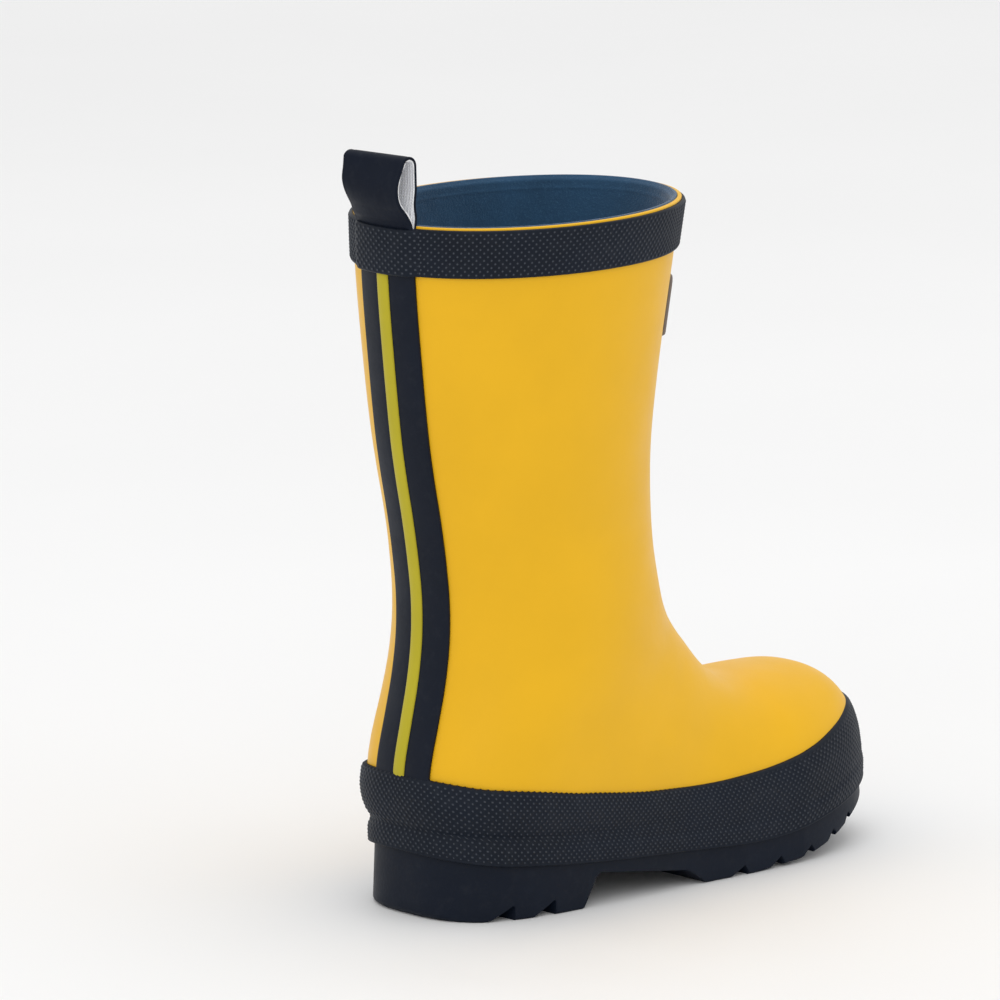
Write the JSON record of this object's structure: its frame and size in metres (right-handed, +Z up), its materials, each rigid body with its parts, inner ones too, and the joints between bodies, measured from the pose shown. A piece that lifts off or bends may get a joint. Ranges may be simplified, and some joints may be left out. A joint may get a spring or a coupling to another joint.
{
  "type": "rubber rain boot",
  "caption": "Child's pull-on rain boot: yellow rubber shell with textile lining, textured top band and rand, pull loop at the back and a lugged outsole with a heel.",
  "frame": {"origin": "centre of the bounding box in X and Y, on the ground under the outsole", "axes": "+X towards the toe, +Y to the inner side of the right foot, +Z up the shaft"},
  "size_m": [0.1924, 0.0828, 0.224],
  "materials": {
    "shell_rubber": "satin matte yellow rubber",
    "textured_rubber": "navy rubber, fine diamond texture",
    "smooth_rubber": "smooth navy rubber",
    "piping_rubber": "smooth lime rubber",
    "badge_rubber": "matt grey-brown rubber, blank",
    "lining_textile": "blue knitted lining",
    "webbing": "light grey woven webbing",
    "outsole_rubber": "satin navy rubber",
    "filler_foam": "grey sponge rubber",
    "board": "pressed fibre board",
    "footbed_foam": "closed-cell foam",
    "stiffener": "rubberised canvas"
  },
  "bodies": {
    "boot": {"upper_shell": "shell_rubber", "lining_sock": "lining_textile", "top_binding": "textured_rubber", "loop_anchor_patch": "textured_rubber", "loop_tabs": "smooth_rubber", "back_stay": "smooth_rubber", "back_stay_piping": "piping_rubber", "front_badge": "badge_rubber", "rand": "textured_rubber", "rand_edge_strip": "smooth_rubber", "outsole": "outsole_rubber", "heel_filler": "filler_foam", "insole_board": "board", "footbed_foam": "footbed_foam", "footbed_cover": "lining_textile", "toe_puff": "stiffener", "heel_counter": "stiffener"},
    "loop": {"pull_loop": "smooth_rubber", "pull_loop_backing": "webbing"}
  },
  "joints": [
    {"name": "loop_flop", "type": "hinge", "parent": "boot", "child": "loop", "pos_m": [-0.09025, 0, 0.2057], "axis": [0, 1, 0], "range_deg": [-45, 40], "stiffness_Nm_per_rad": 0.002}
  ]
}
